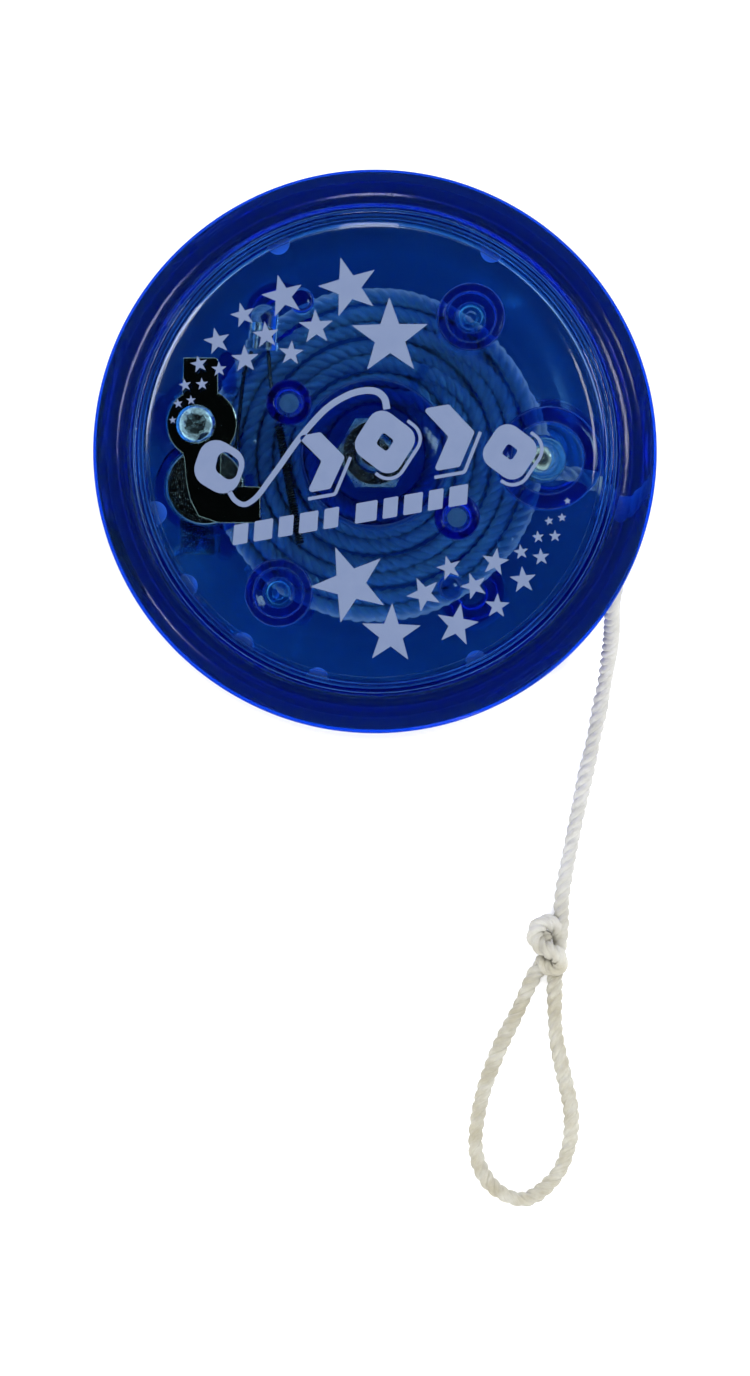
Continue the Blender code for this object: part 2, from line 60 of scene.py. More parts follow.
# Name, azimuth, elevation, distance, size, power, and which rays see it.
LIGHTS = (
    ("edge_softbox", 30, 82.4, 0.6, (0.04, 0.022), 0.022, "everywhere"),
    ("right_softbox", 24, 48, 0.5, (0.1, 0.05), 0.35, "inside"),
    ("top_glint", 91, 76, 0.6, (0.03, 0.02), 0.014, "outside"),
    ("upper_left_glint", 149, 77, 0.6, (0.09, 0.02), 0.045, "outside"),
    ("right_glint", 28, 75, 0.6, (0.05, 0.02), 0.012, "outside"),
    ("left_glint", 215, 38, 0.5, (0.09, 0.02), 0.045, "outside"),
    ("left_softbox", 217, 40, 0.5, (0.14, 0.025), 0.2, "inside"),
    ("window", 60, 58, 0.6, (0.24, 0.24), 1.4, "nowhere"),
    ("lamp", 250, 64, 0.6, (0.2, 0.2), 1.0, "nowhere"),
)
FLOOR_HALF = 4.0
FLOOR_DROP = 0.00003


def camera():
    data = bpy.data.cameras.new("camera")
    data.angle = CAMERA_ANGLE
    data.clip_start, data.clip_end = 0.05, 20
    made = bpy.data.objects.new("camera", data)
    made.location = CAMERA_AT
    bpy.context.scene.collection.objects.link(made)
    bpy.context.scene.camera = made


def area_light(name, azimuth, elevation, distance, size, power, seen):
    """A rectangular softbox that faces the yo-yo.

    seen is "everywhere", "outside" or "inside" for glints on the outer surfaces only or on all
    but those, or "nowhere" for a fill light that shows on matt surfaces only.
    """
    data = bpy.data.lights.new(name, "AREA")
    data.shape = "RECTANGLE"
    data.size, data.size_y = size
    data.energy = power
    made = bpy.data.objects.new(name, data)
    a, e = math.radians(azimuth), math.radians(elevation)
    away = Vector((math.cos(a) * math.cos(e), math.sin(a) * math.cos(e), math.sin(e)))
    made.location = Vector(LIT_POINT) + away * distance
    made.rotation_mode = "QUATERNION"
    made.rotation_quaternion = (-away).to_track_quat("-Z", "Y")
    made.visible_glossy = seen in ("everywhere", "outside")
    made.visible_transmission = seen in ("everywhere", "inside")
    bpy.context.scene.collection.objects.link(made)


def sky():
    """Light from all round that only matt and clear surfaces see."""
    world = bpy.data.worlds.new("studio")
    bpy.context.scene.world = world
    world.use_nodes = True
    tree = world.node_tree
    place = tree.nodes.new("ShaderNodeTexCoord")
    split = tree.nodes.new("ShaderNodeSeparateXYZ")
    fall = tree.nodes.new("ShaderNodeValToRGB")
    stops = fall.color_ramp.elements
    stops.remove(stops[-1])
    for index, (position, grey) in enumerate(SKY):
        stop = stops.new(position) if index else stops[0]
        stop.position = position
        stop.color = (grey, grey, grey * 1.03, 1)
    tree.links.new(place.outputs["Generated"], split.inputs[0])
    tree.links.new(split.outputs["Z"], fall.inputs[0])
    tree.links.new(fall.outputs[0], tree.nodes["Background"].inputs["Color"])
    world.cycles_visibility.glossy = False
    world.cycles.sampling_method = "NONE"


def studio():
    scene = bpy.context.scene
    scene.view_settings.view_transform = "Standard"
    scene.cycles.max_bounces = 32
    scene.cycles.transmission_bounces = 32
    scene.cycles.glossy_bounces = 6
    scene.cycles.diffuse_bounces = 4
    scene.cycles.transparent_max_bounces = 16
    scene.cycles.sample_clamp_indirect = 6
    scene.cycles.blur_glossy = 0
    sky()
    for light in LIGHTS:
        area_light(*light)
    mesh = bpy.data.meshes.new("floor")
    half = FLOOR_HALF
    corners = [(-half, -half, 0), (half, -half, 0), (half, half, 0), (-half, half, 0)]
    mesh.from_pydata(corners, [], [(0, 1, 2, 3)])
    floor = bpy.data.objects.new("floor", mesh)
    floor.location.z = -FLOOR_DROP
    floor.visible_glossy = False
    bpy.context.scene.collection.objects.link(floor)
    mesh.materials.append(FLOOR_PAPER)


# Materials


def shader_of(name):
    made = bpy.data.materials.new(name)
    made.use_nodes = True
    return made, made.node_tree, made.node_tree.nodes["Principled BSDF"]


def noise(tree, vector, scale, detail=3.0, roughness=0.55):
    node = tree.nodes.new("ShaderNodeTexNoise")
    node.inputs["Scale"].default_value = scale
    node.inputs["Detail"].default_value = detail
    node.inputs["Roughness"].default_value = roughness
    tree.links.new(vector, node.inputs["Vector"])
    return node.outputs[0]


def remap(tree, value, low, high, to_low, to_high):
    node = tree.nodes.new("ShaderNodeMapRange")
    for socket, number in zip(node.inputs[1:5], (low, high, to_low, to_high)):
        socket.default_value = number
    tree.links.new(value, node.inputs[0])
    return node.outputs[0]


def mix_colours(tree, factor, first, second, blend="MIX"):
    """Mixes two colours, each given as numbers or as the socket it comes from."""
    node = tree.nodes.new("ShaderNodeMix")
    node.data_type = "RGBA"
    node.blend_type = blend
    for socket, value in (("A", first), ("B", second)):
        if isinstance(value, tuple):
            node.inputs[socket].default_value = (*value, 1)
        else:
            tree.links.new(value, node.inputs[socket])
    if isinstance(factor, float):
        node.inputs["Factor"].default_value = factor
    else:
        tree.links.new(factor, node.inputs["Factor"])
    return node.outputs["Result"]


def bumped(tree, shader, height, depth, strength=1.0, before=None):
    node = tree.nodes.new("ShaderNodeBump")
    node.inputs["Distance"].default_value = depth * MM
    node.inputs["Strength"].default_value = strength
    tree.links.new(height, node.inputs["Height"])
    if before is not None:
        tree.links.new(before, node.inputs["Normal"])
    tree.links.new(node.outputs[0], shader.inputs["Normal"])
    return node.outputs[0]


def finish_of(
    name,
    colours,
    roughness,
    patches=900,
    grain=6000,
    depth=0.004,
    stretch=(1, 1, 1),
    **sockets,
):
    """A finish whose colour and roughness drift over patches and whose surface has a fine grain.

    patches and grain are counts per metre; stretch draws the grain out into brushing.
    """
    made, tree, shader = shader_of(name)
    place = tree.nodes.new("ShaderNodeTexCoord").outputs["Object"]
    drift = noise(tree, place, patches)
    shift = remap(tree, drift, 0.3, 0.7, 0, 1)
    tree.links.new(mix_colours(tree, shift, *colours), shader.inputs["Base Color"])
    wear = noise(tree, place, patches * 2.7, 5.0, 0.7)
    tree.links.new(remap(tree, wear, 0.3, 0.7, *roughness), shader.inputs["Roughness"])
    mapping = tree.nodes.new("ShaderNodeMapping")
    mapping.inputs["Scale"].default_value = stretch
    tree.links.new(place, mapping.inputs["Vector"])
    bumped(tree, shader, noise(tree, mapping.outputs[0], grain), depth)
    for socket, value in sockets.items():
        shader.inputs[socket.replace("_", " ")].default_value = value
    return made


def glass_of(name, colours, roughness, absorbed=None, rim=0.0, **settings):
    """Clear plastic. absorbed is what a metre of it takes off red, green and blue.

    rim is how much rougher it is outside the side disc, where hands wear it.
    """
    made = finish_of(name, colours, roughness, Transmission_Weight=1.0, **settings)
    if rim:
        tree = made.node_tree
        shader = tree.nodes["Principled BSDF"]
        place = tree.nodes.new("ShaderNodeTexCoord").outputs["Object"]
        flat = tree.nodes.new("ShaderNodeVectorMath")
        flat.operation = "MULTIPLY"
        flat.inputs[1].default_value = (1, 1, 0)
        tree.links.new(place, flat.inputs[0])
        radius = tree.nodes.new("ShaderNodeVectorMath")
        radius.operation = "LENGTH"
        tree.links.new(flat.outputs[0], radius.inputs[0])
        worn = remap(tree, radius.outputs["Value"], 25.3 * MM, 26.2 * MM, 0, rim)
        total = tree.nodes.new("ShaderNodeMath")
        tree.links.new(shader.inputs["Roughness"].links[0].from_socket, total.inputs[0])
        tree.links.new(worn, total.inputs[1])
        tree.links.new(total.outputs[0], shader.inputs["Roughness"])
    if absorbed:
        tree = made.node_tree
        inside = tree.nodes.new("ShaderNodeVolumeAbsorption")
        most = max(absorbed)
        left = [1 - part / most for part in absorbed]
        inside.inputs["Color"].default_value = (*left, 1)
        inside.inputs["Density"].default_value = most
        output = tree.nodes["Material Output"]
        tree.links.new(inside.outputs[0], output.inputs["Volume"])
    return made


def lit_backdrop(look):
    """Makes the paper glow around the yo-yo, so that no shadow shows, and shades it beneath."""
    tree = look.node_tree
    shader = tree.nodes["Principled BSDF"]
    place = tree.nodes.new("ShaderNodeTexCoord").outputs["Object"]
    distance = tree.nodes.new("ShaderNodeVectorMath")
    distance.operation = "LENGTH"
    tree.links.new(place, distance.inputs[0])
    glow = remap(tree, distance.outputs["Value"], 29 * MM, 31 * MM, 0, 0.3)
    tree.links.new(glow, shader.inputs["Emission Strength"])
    shader.inputs["Emission Color"].default_value = (1, 1, 1, 1)
    open_air = remap(tree, distance.outputs["Value"], 24.5 * MM, 28.2 * MM, 0, 1)
    paper = mix_colours(tree, open_air, (0.3, 0.3, 0.3), (0.94, 0.94, 0.94))
    tree.links.new(paper, shader.inputs["Base Color"])


def cotton():
    """Twisted cotton: fibres along each ply, a little fluff, and grubbier at the finger loop."""
    made, tree, shader = shader_of("cotton_yarn")
    place = tree.nodes.new("ShaderNodeTexCoord").outputs["Object"]
    across = tree.nodes.new("ShaderNodeUVMap")
    across.uv_map = "along"
    mapping = tree.nodes.new("ShaderNodeMapping")
    mapping.inputs["Scale"].default_value = (26, 0.5, 1)
    tree.links.new(across.outputs[0], mapping.inputs["Vector"])
    fibres = noise(tree, mapping.outputs[0], 1.0, 4.0, 0.65)
    fluff = noise(tree, place, 3800, 4.0, 0.7)
    age = remap(tree, noise(tree, place, 420, 3.0), 0.36, 0.64, 0, 1)
    clean = mix_colours(tree, age, (0.65, 0.65, 0.62), (0.58, 0.58, 0.54))
    handled = mix_colours(tree, age, (0.58, 0.57, 0.49), (0.45, 0.42, 0.31))
    split = tree.nodes.new("ShaderNodeSeparateXYZ")
    tree.links.new(place, split.inputs[0])
    held = remap(tree, split.outputs["Y"], -43 * MM, -55 * MM, 0, 1)
    tone = mix_colours(tree, held, clean, handled)
    dark = mix_colours(tree, remap(tree, fibres, 0.3, 0.62, 0, 1), (0.72, 0.7, 0.66), (1, 1, 1))
    shade = mix_colours(tree, 1.0, tone, dark, "MULTIPLY")
    tree.links.new(shade, shader.inputs["Base Color"])
    tree.links.new(remap(tree, fluff, 0.3, 0.7, 0.8, 1.0), shader.inputs["Roughness"])
    first = bumped(tree, shader, fibres, 0.09)
    bumped(tree, shader, fluff, 0.05, before=first)
    shader.inputs["Sheen Weight"].default_value = 0.35
    shader.inputs["Sheen Roughness"].default_value = 0.6
    shader.inputs["Specular IOR Level"].default_value = 0.2
    return made


FLOOR_PAPER = finish_of(
    "floor_paper", ((0.93, 0.93, 0.93), (0.95, 0.95, 0.95)), (0.9, 1.0), 30, 900
)
lit_backdrop(FLOOR_PAPER)
BLUE_SHELL = glass_of(
    "blue_shell_plastic",
    ((0.98, 0.99, 1.0), (0.95, 0.97, 1.0)),
    (0.03, 0.09),
    (560.0, 240.0, 34.0),
    rim=0.025,
    patches=260,
    grain=420,
    depth=0.012,
    IOR=1.45,
    Sheen_Weight=0.05,
    Sheen_Roughness=0.8,
    Sheen_Tint=(0.12, 0.5, 0.9, 1.0),
)
BLUE_LENS = glass_of(
    "blue_lens_plastic",
    ((0.98, 0.99, 1.0), (0.95, 0.97, 1.0)),
    (0.02, 0.07),
    (240.0, 66.0, 20.0),
    patches=240,
    grain=300,
    depth=0.006,
    IOR=1.45,
)
FROSTED = glass_of(
    "frosted_gate_plastic",
    ((0.22, 0.4, 0.72), (0.19, 0.36, 0.66)),
    (0.35, 0.5),
    (200.0, 110.0, 30.0),
    grain=4000,
    depth=0.02,
    IOR=1.5,
)
MATT_END = finish_of(
    "matt_tube_end", ((0.2, 0.2, 0.22), (0.15, 0.15, 0.17)), (0.5, 0.7), 1600
)
WELD = finish_of(
    "weld_line",
    ((0.03, 0.13, 0.5), (0.008, 0.04, 0.2)),
    (0.4, 0.6),
    90,
    5000,
    Specular_IOR_Level=0.1,
)
DEEP_BLUE = glass_of(
    "blue_tube_plastic",
    ((0.98, 0.99, 1.0), (0.95, 0.97, 1.0)),
    (0.03, 0.09),
    (1300.0, 620.0, 50.0),
    patches=260,
    grain=900,
    IOR=1.45,
)
RESIN = glass_of(
    "clear_led_resin",
    ((0.96, 0.98, 1.0), (0.92, 0.96, 0.98)),
    (0.02, 0.06),
    (200.0, 170.0, 120.0),
    grain=900,
    IOR=1.54,
)
INK = finish_of(
    "screen_ink", ((0.124, 0.162, 0.265), (0.114, 0.152, 0.255)), (0.38, 0.55), 700, 9000, 0.003
)
BLACK_STEEL = finish_of(
    "blackened_steel",
    ((0.3, 0.28, 0.24), (0.2, 0.19, 0.16)),
    (0.04, 0.09),
    500,
    2500,
    0.0012,
    (1, 0.15, 1),
    Metallic=1.0,
)
NICKEL = finish_of(
    "nickel_plate",
    ((0.58, 0.6, 0.6), (0.26, 0.27, 0.27)),
    (0.08, 0.22),
    1500,
    2600,
    0.02,
    Metallic=1.0,
)
CELL_CAN = finish_of(
    "cell_can",
    ((0.3, 0.3, 0.28), (0.18, 0.18, 0.17)),
    (0.14, 0.28),
    800,
    9000,
    0.004,
    (1, 0.1, 1),
    Metallic=1.0,
)
TINNED = finish_of(
    "tinned_wire", ((0.05, 0.05, 0.05), (0.02, 0.02, 0.02)), (0.2, 0.4), 900, Metallic=0.8
)
SPRING_WIRE = finish_of(
    "spring_wire", ((0.035, 0.034, 0.032), (0.02, 0.02, 0.02)), (0.25, 0.4), 900, Metallic=1.0
)
POLISHED = finish_of(
    "polished_steel",
    ((0.52, 0.46, 0.35), (0.36, 0.32, 0.25)),
    (0.05, 0.14),
    700,
    1800,
    0.01,
    Metallic=0.8,
)
ZINC = finish_of(
    "zinc_plate",
    ((0.22, 0.23, 0.24), (0.11, 0.115, 0.125)),
    (0.14, 0.32),
    900,
    5000,
    0.008,
    Metallic=1.0,
)
# Painted shade: the sleeve's nylon is coloured a dull grey, much darker than pale nylon, for the
# shade round the hub.
SHADED_NYLON = finish_of("nylon_painted_shade", ((0.42, 0.42, 0.38), (0.34, 0.34, 0.31)), (0.35, 0.5))
COTTON = cotton()


# Mesh helpers


def linked(name, mesh, look, sharp=35):
    """An object of this mesh, smooth except over edges steeper than sharp degrees."""
    mesh.shade_smooth()
    mesh.set_sharp_from_angle(angle=math.radians(sharp))
    mesh.materials.clear()
    mesh.materials.append(look)
    made = bpy.data.objects.new(name, mesh)
    bpy.context.scene.collection.objects.link(made)
    return made


def mesh_of(name, points, faces):
    """A closed mesh from points in millimetres, with its faces turned out."""
    mesh = bpy.data.meshes.new(name)
    mesh.from_pydata([tuple(p) for p in np.asarray(points, float) * MM], [], faces)
    shape = bmesh.new()
    shape.from_mesh(mesh)
    bmesh.ops.recalc_face_normals(shape, faces=shape.faces)
    shape.to_mesh(mesh)
    shape.free()
    return mesh


def rounded(corners, closed, steps=5):
    """(x, y, radius) corners as (x, y) points, with an arc of that radius at each corner."""
    out = []
    last = len(corners) - 1
    for i, (x, y, radius) in enumerate(corners):
        if not radius or (not closed and i in (0, last)):
            out.append((x, y))
            continue
        corner = Vector((x, y))
        back = (Vector(corners[i - 1][:2]) - corner).normalized()
        on = (Vector(corners[(i + 1) % len(corners)][:2]) - corner).normalized()
        half = back.angle(on) / 2
        centre = corner + (back + on).normalized() * radius / math.sin(half)
        first = corner + back * radius / math.tan(half) - centre
        final = corner + on * radius / math.tan(half) - centre
        span = first.angle(final)
        for step in range(steps + 1):
            t = step / steps
            at = math.sin((1 - t) * span) * first + math.sin(t * span) * final
            out.append(tuple(centre + at / math.sin(span)))
    return out


def turned(name, corners, look, steps=64, ring=False, at=(0, 0), arc_steps=5):
    """(radius, height, rounding) corners turned about Z. A ring's profile closes on itself."""
    profile = rounded(corners, ring, arc_steps)
    count = len(profile)
    angles = 2 * np.pi * np.arange(steps) / steps
    points, faces = [], []
    index = {}
    for i, (radius, height) in enumerate(profile):
        if radius < 1e-6:
            index[i] = [len(points)] * steps
            points.append((at[0], at[1], height))
            continue
        index[i] = list(range(len(points), len(points) + steps))
        points += [
            (at[0] + radius * math.cos(a), at[1] + radius * math.sin(a), height) for a in angles
        ]
    for i in range(count if ring else count - 1):
        first, second = index[i], index[(i + 1) % count]
        for j in range(steps):
            k = (j + 1) % steps
            face = [first[j], second[j], second[k], first[k]]
            face = [v for n, v in enumerate(face) if v not in face[:n]]
            if len(face) > 2:
                faces.append(face)
    return linked(name, mesh_of(name, points, faces), look)


def arc(centre, radius, start, end, steps=24):
    """Points from one angle to the other, in degrees, both ends in."""
    angles = [math.radians(start + (end - start) * i / steps) for i in range(steps + 1)]
    return [
        (centre[0] + radius * math.cos(a), centre[1] + radius * math.sin(a)) for a in angles
    ]


def circle(centre, radius, steps=32):
    return arc(centre, radius, 0, 360, steps)[:-1]


def hexagon(flats, rounding=0.0):
    corners = [(x, y, rounding) for x, y in circle((0, 0), flats / math.sqrt(3), 6)]
    return rounded(corners, True, 3)


def slab(name, outlines, low, high, look, bevel=0.0, sharp=35):
    """Flat outlines, holes among them, between two heights, with rounded edges."""
    curve = bpy.data.curves.new(name, "CURVE")
    curve.dimensions = "2D"
    curve.fill_mode = "BOTH"
    curve.extrude = ((high - low) / 2 - bevel) * MM
    curve.bevel_depth = bevel * MM
    curve.bevel_resolution = 1
    curve.offset = -bevel * MM
    for outline in outlines:
        spline = curve.splines.new("POLY")
        spline.points.add(len(outline) - 1)
        for target, (x, y) in zip(spline.points, outline):
            target.co = (x * MM, y * MM, 0, 1)
        spline.use_cyclic_u = True
    source = bpy.data.objects.new(name + "_curve", curve)
    bpy.context.scene.collection.objects.link(source)
    graph = bpy.context.evaluated_depsgraph_get()
    mesh = bpy.data.meshes.new_from_object(source.evaluated_get(graph))
    bpy.data.objects.remove(source)
    mesh.transform(Matrix.Translation((0, 0, (low + high) / 2 * MM)))
    shape = bmesh.new()
    shape.from_mesh(mesh)
    bmesh.ops.remove_doubles(shape, verts=shape.verts, dist=1e-6)
    bmesh.ops.recalc_face_normals(shape, faces=shape.faces)
    shape.to_mesh(mesh)
    shape.free()
    return linked(name, mesh, look, sharp)


def combined(obj, tools, operation="UNION", sharp=35):
    """Joins the tools to the object, or cuts them from it, and removes them."""
    for tool in tools:
        modifier = obj.modifiers.new(tool.name, "BOOLEAN")
        modifier.operation = operation
        modifier.solver = "MANIFOLD"
        modifier.object = tool
    graph = bpy.context.evaluated_depsgraph_get()
    mesh = bpy.data.meshes.new_from_object(obj.evaluated_get(graph))
    mesh.name = obj.name
    obj.modifiers.clear()
    look = obj.data.materials[0]
    obj.data = mesh
    mesh.materials.clear()
    mesh.materials.append(look)
    mesh.polygons.foreach_set("material_index", [0] * len(mesh.polygons))
    mesh.shade_smooth()
    mesh.set_sharp_from_angle(angle=math.radians(sharp))
    for tool in tools:
        bpy.data.objects.remove(tool)
    return obj


def smooth_route(route, spacing):
    """Points about this far apart on a smooth curve through the route's points."""
    points = [np.array(p, float) for p in route]
    ends = [2 * points[0] - points[1], *points, 2 * points[-1] - points[-2]]
    out = []
    for before, start, end, after in zip(ends, ends[1:], ends[2:], ends[3:]):
        steps = max(1, round(np.linalg.norm(end - start) / spacing))
        for step in range(steps):
            t = step / steps
            out.append(
                0.5
                * (
                    2 * start
                    + (end - before) * t
                    + (2 * before - 5 * start + 4 * end - after) * t**2
                    + (3 * start - before - 3 * end + after) * t**3
                )
            )
    return np.array([*out, points[-1]])


def even(points, spacing):
    """The same line with its points this far apart."""
    steps = np.linalg.norm(np.diff(points, axis=0), axis=1)
    along = np.concatenate([[0], np.cumsum(steps)])
    at = np.linspace(0, along[-1], max(2, round(along[-1] / spacing) + 1))
    return np.stack([np.interp(at, along, points[:, k]) for k in range(3)], axis=1)


def even_line(points, spacing):
    """The same flat line with its points this far apart."""
    return even(np.array([(x, y, 0) for x, y in points]), spacing)[:, :2]


def swept(name, path, section, look, twist=0.0, wobble=0.0, taper=1.0, swell=0.0):
    """A cross-section, as complex millimetres, carried along a path and turned as it goes.

    twist is in radians a millimetre. swell is how much the width drifts along the path, and wobble
    how much each point strays. The map "along" holds round and along in millimetres.
    """
    path = np.asarray(path, float)
    ahead = np.gradient(path, axis=0)
    ahead /= np.linalg.norm(ahead, axis=1)[:, None]
    side = np.empty_like(path)
    first = np.cross(ahead[0], (0.0, 0.0, 1.0))
    if np.linalg.norm(first) < 0.1:
        first = np.cross(ahead[0], (1.0, 0.0, 0.0))
    side[0] = first / np.linalg.norm(first)
    for i in range(1, len(path)):
        v = side[i - 1] - ahead[i] * (side[i - 1] @ ahead[i])
        side[i] = v / np.linalg.norm(v)
    up = np.cross(ahead, side)
    gone = np.concatenate([[0], np.cumsum(np.linalg.norm(np.diff(path, axis=0), axis=1))])
    count, around = len(path), len(section)
    ring = section[None, :] * np.exp(1j * twist * gone)[:, None]
    if swell:
        drift = np.sin(0.62 * gone + 1.7 * np.sin(0.23 * gone))
        ring = ring * (1 + swell * drift)[:, None]
    if wobble:
        ring = ring * (1 + wobble * RANDOM.standard_normal((count, around)))
    if taper != 1.0:
        ends = np.minimum(gone, gone[-1] - gone)
        ring = ring * (taper + (1 - taper) * np.clip(ends / 0.6, 0, 1))[:, None]
    points = (
        path[:, None] + ring.real[..., None] * side[:, None] + ring.imag[..., None] * up[:, None]
    ).reshape(-1, 3)
    faces = []
    for i in range(count - 1):
        a, b = i * around, (i + 1) * around
        for j in range(around):
            k = (j + 1) % around
            faces.append((a + j, a + k, b + k, b + j))
    faces.append(tuple(range(around))[::-1])
    faces.append(tuple(range((count - 1) * around, count * around)))
    mesh = bpy.data.meshes.new(name)
    mesh.from_pydata([tuple(p) for p in points * MM], [], faces)
    layer = mesh.uv_layers.new(name="along")
    loops = np.empty(len(mesh.loops), np.int32)
    mesh.loops.foreach_get("vertex_index", loops)
    uv = np.stack([(loops % around) / around * 5.0, gone[loops // around]], axis=1)
    layer.data.foreach_set("uv", uv.astype(np.float32).ravel())
    return linked(name, mesh, look, 60)


def round_section(radius, count=10):
    return radius * np.exp(2j * np.pi * np.arange(count) / count)


def ply_section(radius, plies=3, count=18):
    """The outline of a few round plies twisted together."""
    centre, ply = 0.4 * radius, 0.6 * radius
    angles = 2 * np.pi * np.arange(count) / count
    off = (angles + np.pi / plies) % (2 * np.pi / plies) - np.pi / plies
    reach = centre * np.cos(off) + np.sqrt(ply**2 - (centre * np.sin(off)) ** 2)
    return reach * np.exp(1j * angles)


def placed(obj, side, body, slot, *nodes):
    """Puts a piece of one half in its half, on its body, in place of its CAD nodes."""
    obj.matrix_world = HALVES[side] if side else Matrix.Identity(4)
    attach(obj, body)
    if nodes:
        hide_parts(*nodes)
    return obj


def flats_kept(obj):
    """Gives a mesh normals that keep its flat faces flat beside their rounded edges."""
    modifier = obj.modifiers.new("normals", "WEIGHTED_NORMAL")
    modifier.keep_sharp = True
    graph = bpy.context.evaluated_depsgraph_get()
    mesh = bpy.data.meshes.new_from_object(obj.evaluated_get(graph))
    obj.modifiers.clear()
    obj.data = mesh


def both_halves(obj, kind, slot, node=None, body="housing"):
    """Uses one half's piece in both halves: "kind" becomes front_kind and rear_kind."""
    flats_kept(obj)
    twin = bpy.data.objects.new("rear_" + kind, obj.data)
    bpy.context.scene.collection.objects.link(twin)
    obj.name = "front_" + kind
    for side, piece in (("front", obj), ("rear", twin)):
        names = [f"{side}_{node}"] if node else []
        placed(piece, side, body.format(side=side), slot, *names)


# String: 14 turns on the sleeve, the free end, the knot and the finger loop

STRING_RADIUS = 0.85
PLY_PITCH = 3.5
TURNS = 14
STEPS_A_TURN = 90
INNER_TURN = 6.05
LAYER_STEP = 1.72
COLUMN_STEP = 0.87
FINISH_ANGLE = math.radians(22.9)
# The tail runs from the winding through the knot, the loop goes round and back into the knot.
TAIL_ROUTE = (
    (16.45, 3.6, 16.0),
    (17.6, 0.4, 15.9),
    (18.4, -1.6, 15.9),
    (20.8, -2.0, 15.7),
    (23.1, -3.4, 15.5),
    (24.7, -6.4, 15.4),
    (25.3, -9.8, 15.1),
    (25.0, -12.8, 14.3),
    (24.6, -15.2, 12.7),
    (24.6, -17.0, 10.2),
    (24.6, -18.9, 7.2),
    (24.3, -21.5, 4.2),
    (23.8, -24.8, 2.2),
    (22.9, -29.5, 1.2),
    (21.7, -35.0, 0.95),
    (20.5, -40.9, 0.95),
    (19.75, -45.0, 0.95),
    (19.55, -47.4, 1.0),
    (19.5, -49.6, 1.1),
    (19.2, -51.5, 0.95),
    (18.0, -52.6, 0.95),
    (17.1, -53.5, 1.0),
)
LOOP_ROUTE = (
    (16.3, -54.9, 1.0),
    (15.0, -57.8, 0.95),
    (12.9, -62.1, 0.95),
    (11.1, -67.4, 0.95),
    (10.6, -72.6, 0.95),
    (12.3, -76.2, 0.95),
    (15.7, -77.6, 0.95),
    (18.8, -75.4, 0.95),
    (20.3, -72.2, 0.95),
    (20.6, -68.6, 0.95),
    (19.9, -64.9, 0.95),
    (19.0, -60.4, 0.95),
    (18.85, -55.5, 1.0),
    (18.9, -53.3, 1.0),
    (18.2, -51.7, 1.0),
    (17.6, -50.4, 1.1),
    (18.1, -49.4, 1.2),
)
# The strand that crosses the knot, from where it leaves under the free end to where it tucks in.
KNOT_ROUTE = (
    (19.5, -50.3, 0.9),
    (19.1, -49.0, 1.4),
    (18.0, -48.5, 1.9),
    (17.0, -49.0, 2.15),
    (16.75, -50.1, 2.1),
    (17.4, -51.0, 2.15),
    (18.4, -51.5, 2.3),
    (19.2, -52.0, 2.1),
    (19.4, -52.9, 1.7),
    (18.7, -53.4, 1.5),
    (17.8, -52.9, 1.3),
    (17.3, -52.0, 1.0),
)


def winding_path():
    """Two turns side by side in each layer, seven layers deep, wound clockwise.

    Each turn keeps to its place and moves to the next over about its last sixth. sway and lift
    make the turns uneven, and the outermost turn settles to run out into the free end.
    """
    out = []
    for i in range(TURNS * STEPS_A_TURN + 1):
        turn = i / STEPS_A_TURN
        whole = min(int(turn), TURNS - 1)
        part = turn - whole
        ease = np.clip((part - 0.84) / 0.16, 0, 1)
        ease = ease * ease * (3 - 2 * ease)
        here = (whole // 2, 1 if (whole + 1) // 2 % 2 else -1)
        ahead = whole + 1
        there = (ahead // 2, 1 if (ahead + 1) // 2 % 2 else -1)
        if ahead >= TURNS:
            there = here
        layer = here[0] + (there[0] - here[0]) * ease
        column = here[1] + (there[1] - here[1]) * ease
        angle = FINISH_ANGLE + 2 * math.pi * (TURNS - turn)
        sway = math.sin(1.37 * angle + 0.8 * whole) + 0.6 * math.sin(3.1 * angle + 2.1 * whole)
        lift = math.sin(2.3 * angle + 1.9 * whole) + 0.5 * math.sin(5.2 * angle + whole)
        outer = min(1.0, (TURNS - turn) / 0.6)
        radius = INNER_TURN + LAYER_STEP * layer + 0.13 * sway * outer
        height = MIDDLE + COLUMN_STEP * column + 0.05 * lift
        out.append((radius * math.cos(angle), radius * math.sin(angle), height))
    return np.array(out)


def string():
    winding = winding_path()
    free = smooth_route([winding[-9], winding[-1], *TAIL_ROUTE, *LOOP_ROUTE], 0.4)
    skip = int(np.argmin(np.linalg.norm(free - winding[-1], axis=1)))
    path = even(np.concatenate([winding, free[skip + 1 :]]), 0.28)
    turn = 2 * math.pi / PLY_PITCH
    section = ply_section(STRING_RADIUS)
    piece = swept("string_cord", path, section, COTTON, turn, 0.012, swell=0.06)
    crossing = even(smooth_route(KNOT_ROUTE, 0.22), 0.22)
    thicker = ply_section(1.08 * STRING_RADIUS)
    knot = swept("string_knot_tied", crossing, thicker, COTTON, turn, 0.015, taper=0.5)
    placed(piece, "", "spool", "cotton", "string_winding", "string_tail", "string_loop")
    placed(knot, "", "spool", "cotton", "string_knot")


# Shell

# Where the features stand in plan, as the photograph shows them.
BOSSES = ((9.7, 13.6), (-9.75, -14.3))
TUBES = ((-8.7, 4.95), (8.3, -6.65))
PINS = ((-7.5, 15.6), (7.7, -13.7))
EJECTOR_MARKS = ((-9.0, 12.5), (-13.2, 1.3), (13.6, -8.9))
BALL_POCKET_AT = (17.6, -0.55)
BALL_AT = (17.05, -0.55)
SCREW_AT = (-18.15, 2.8)
CELL_AT = (-17.25, -3.45)
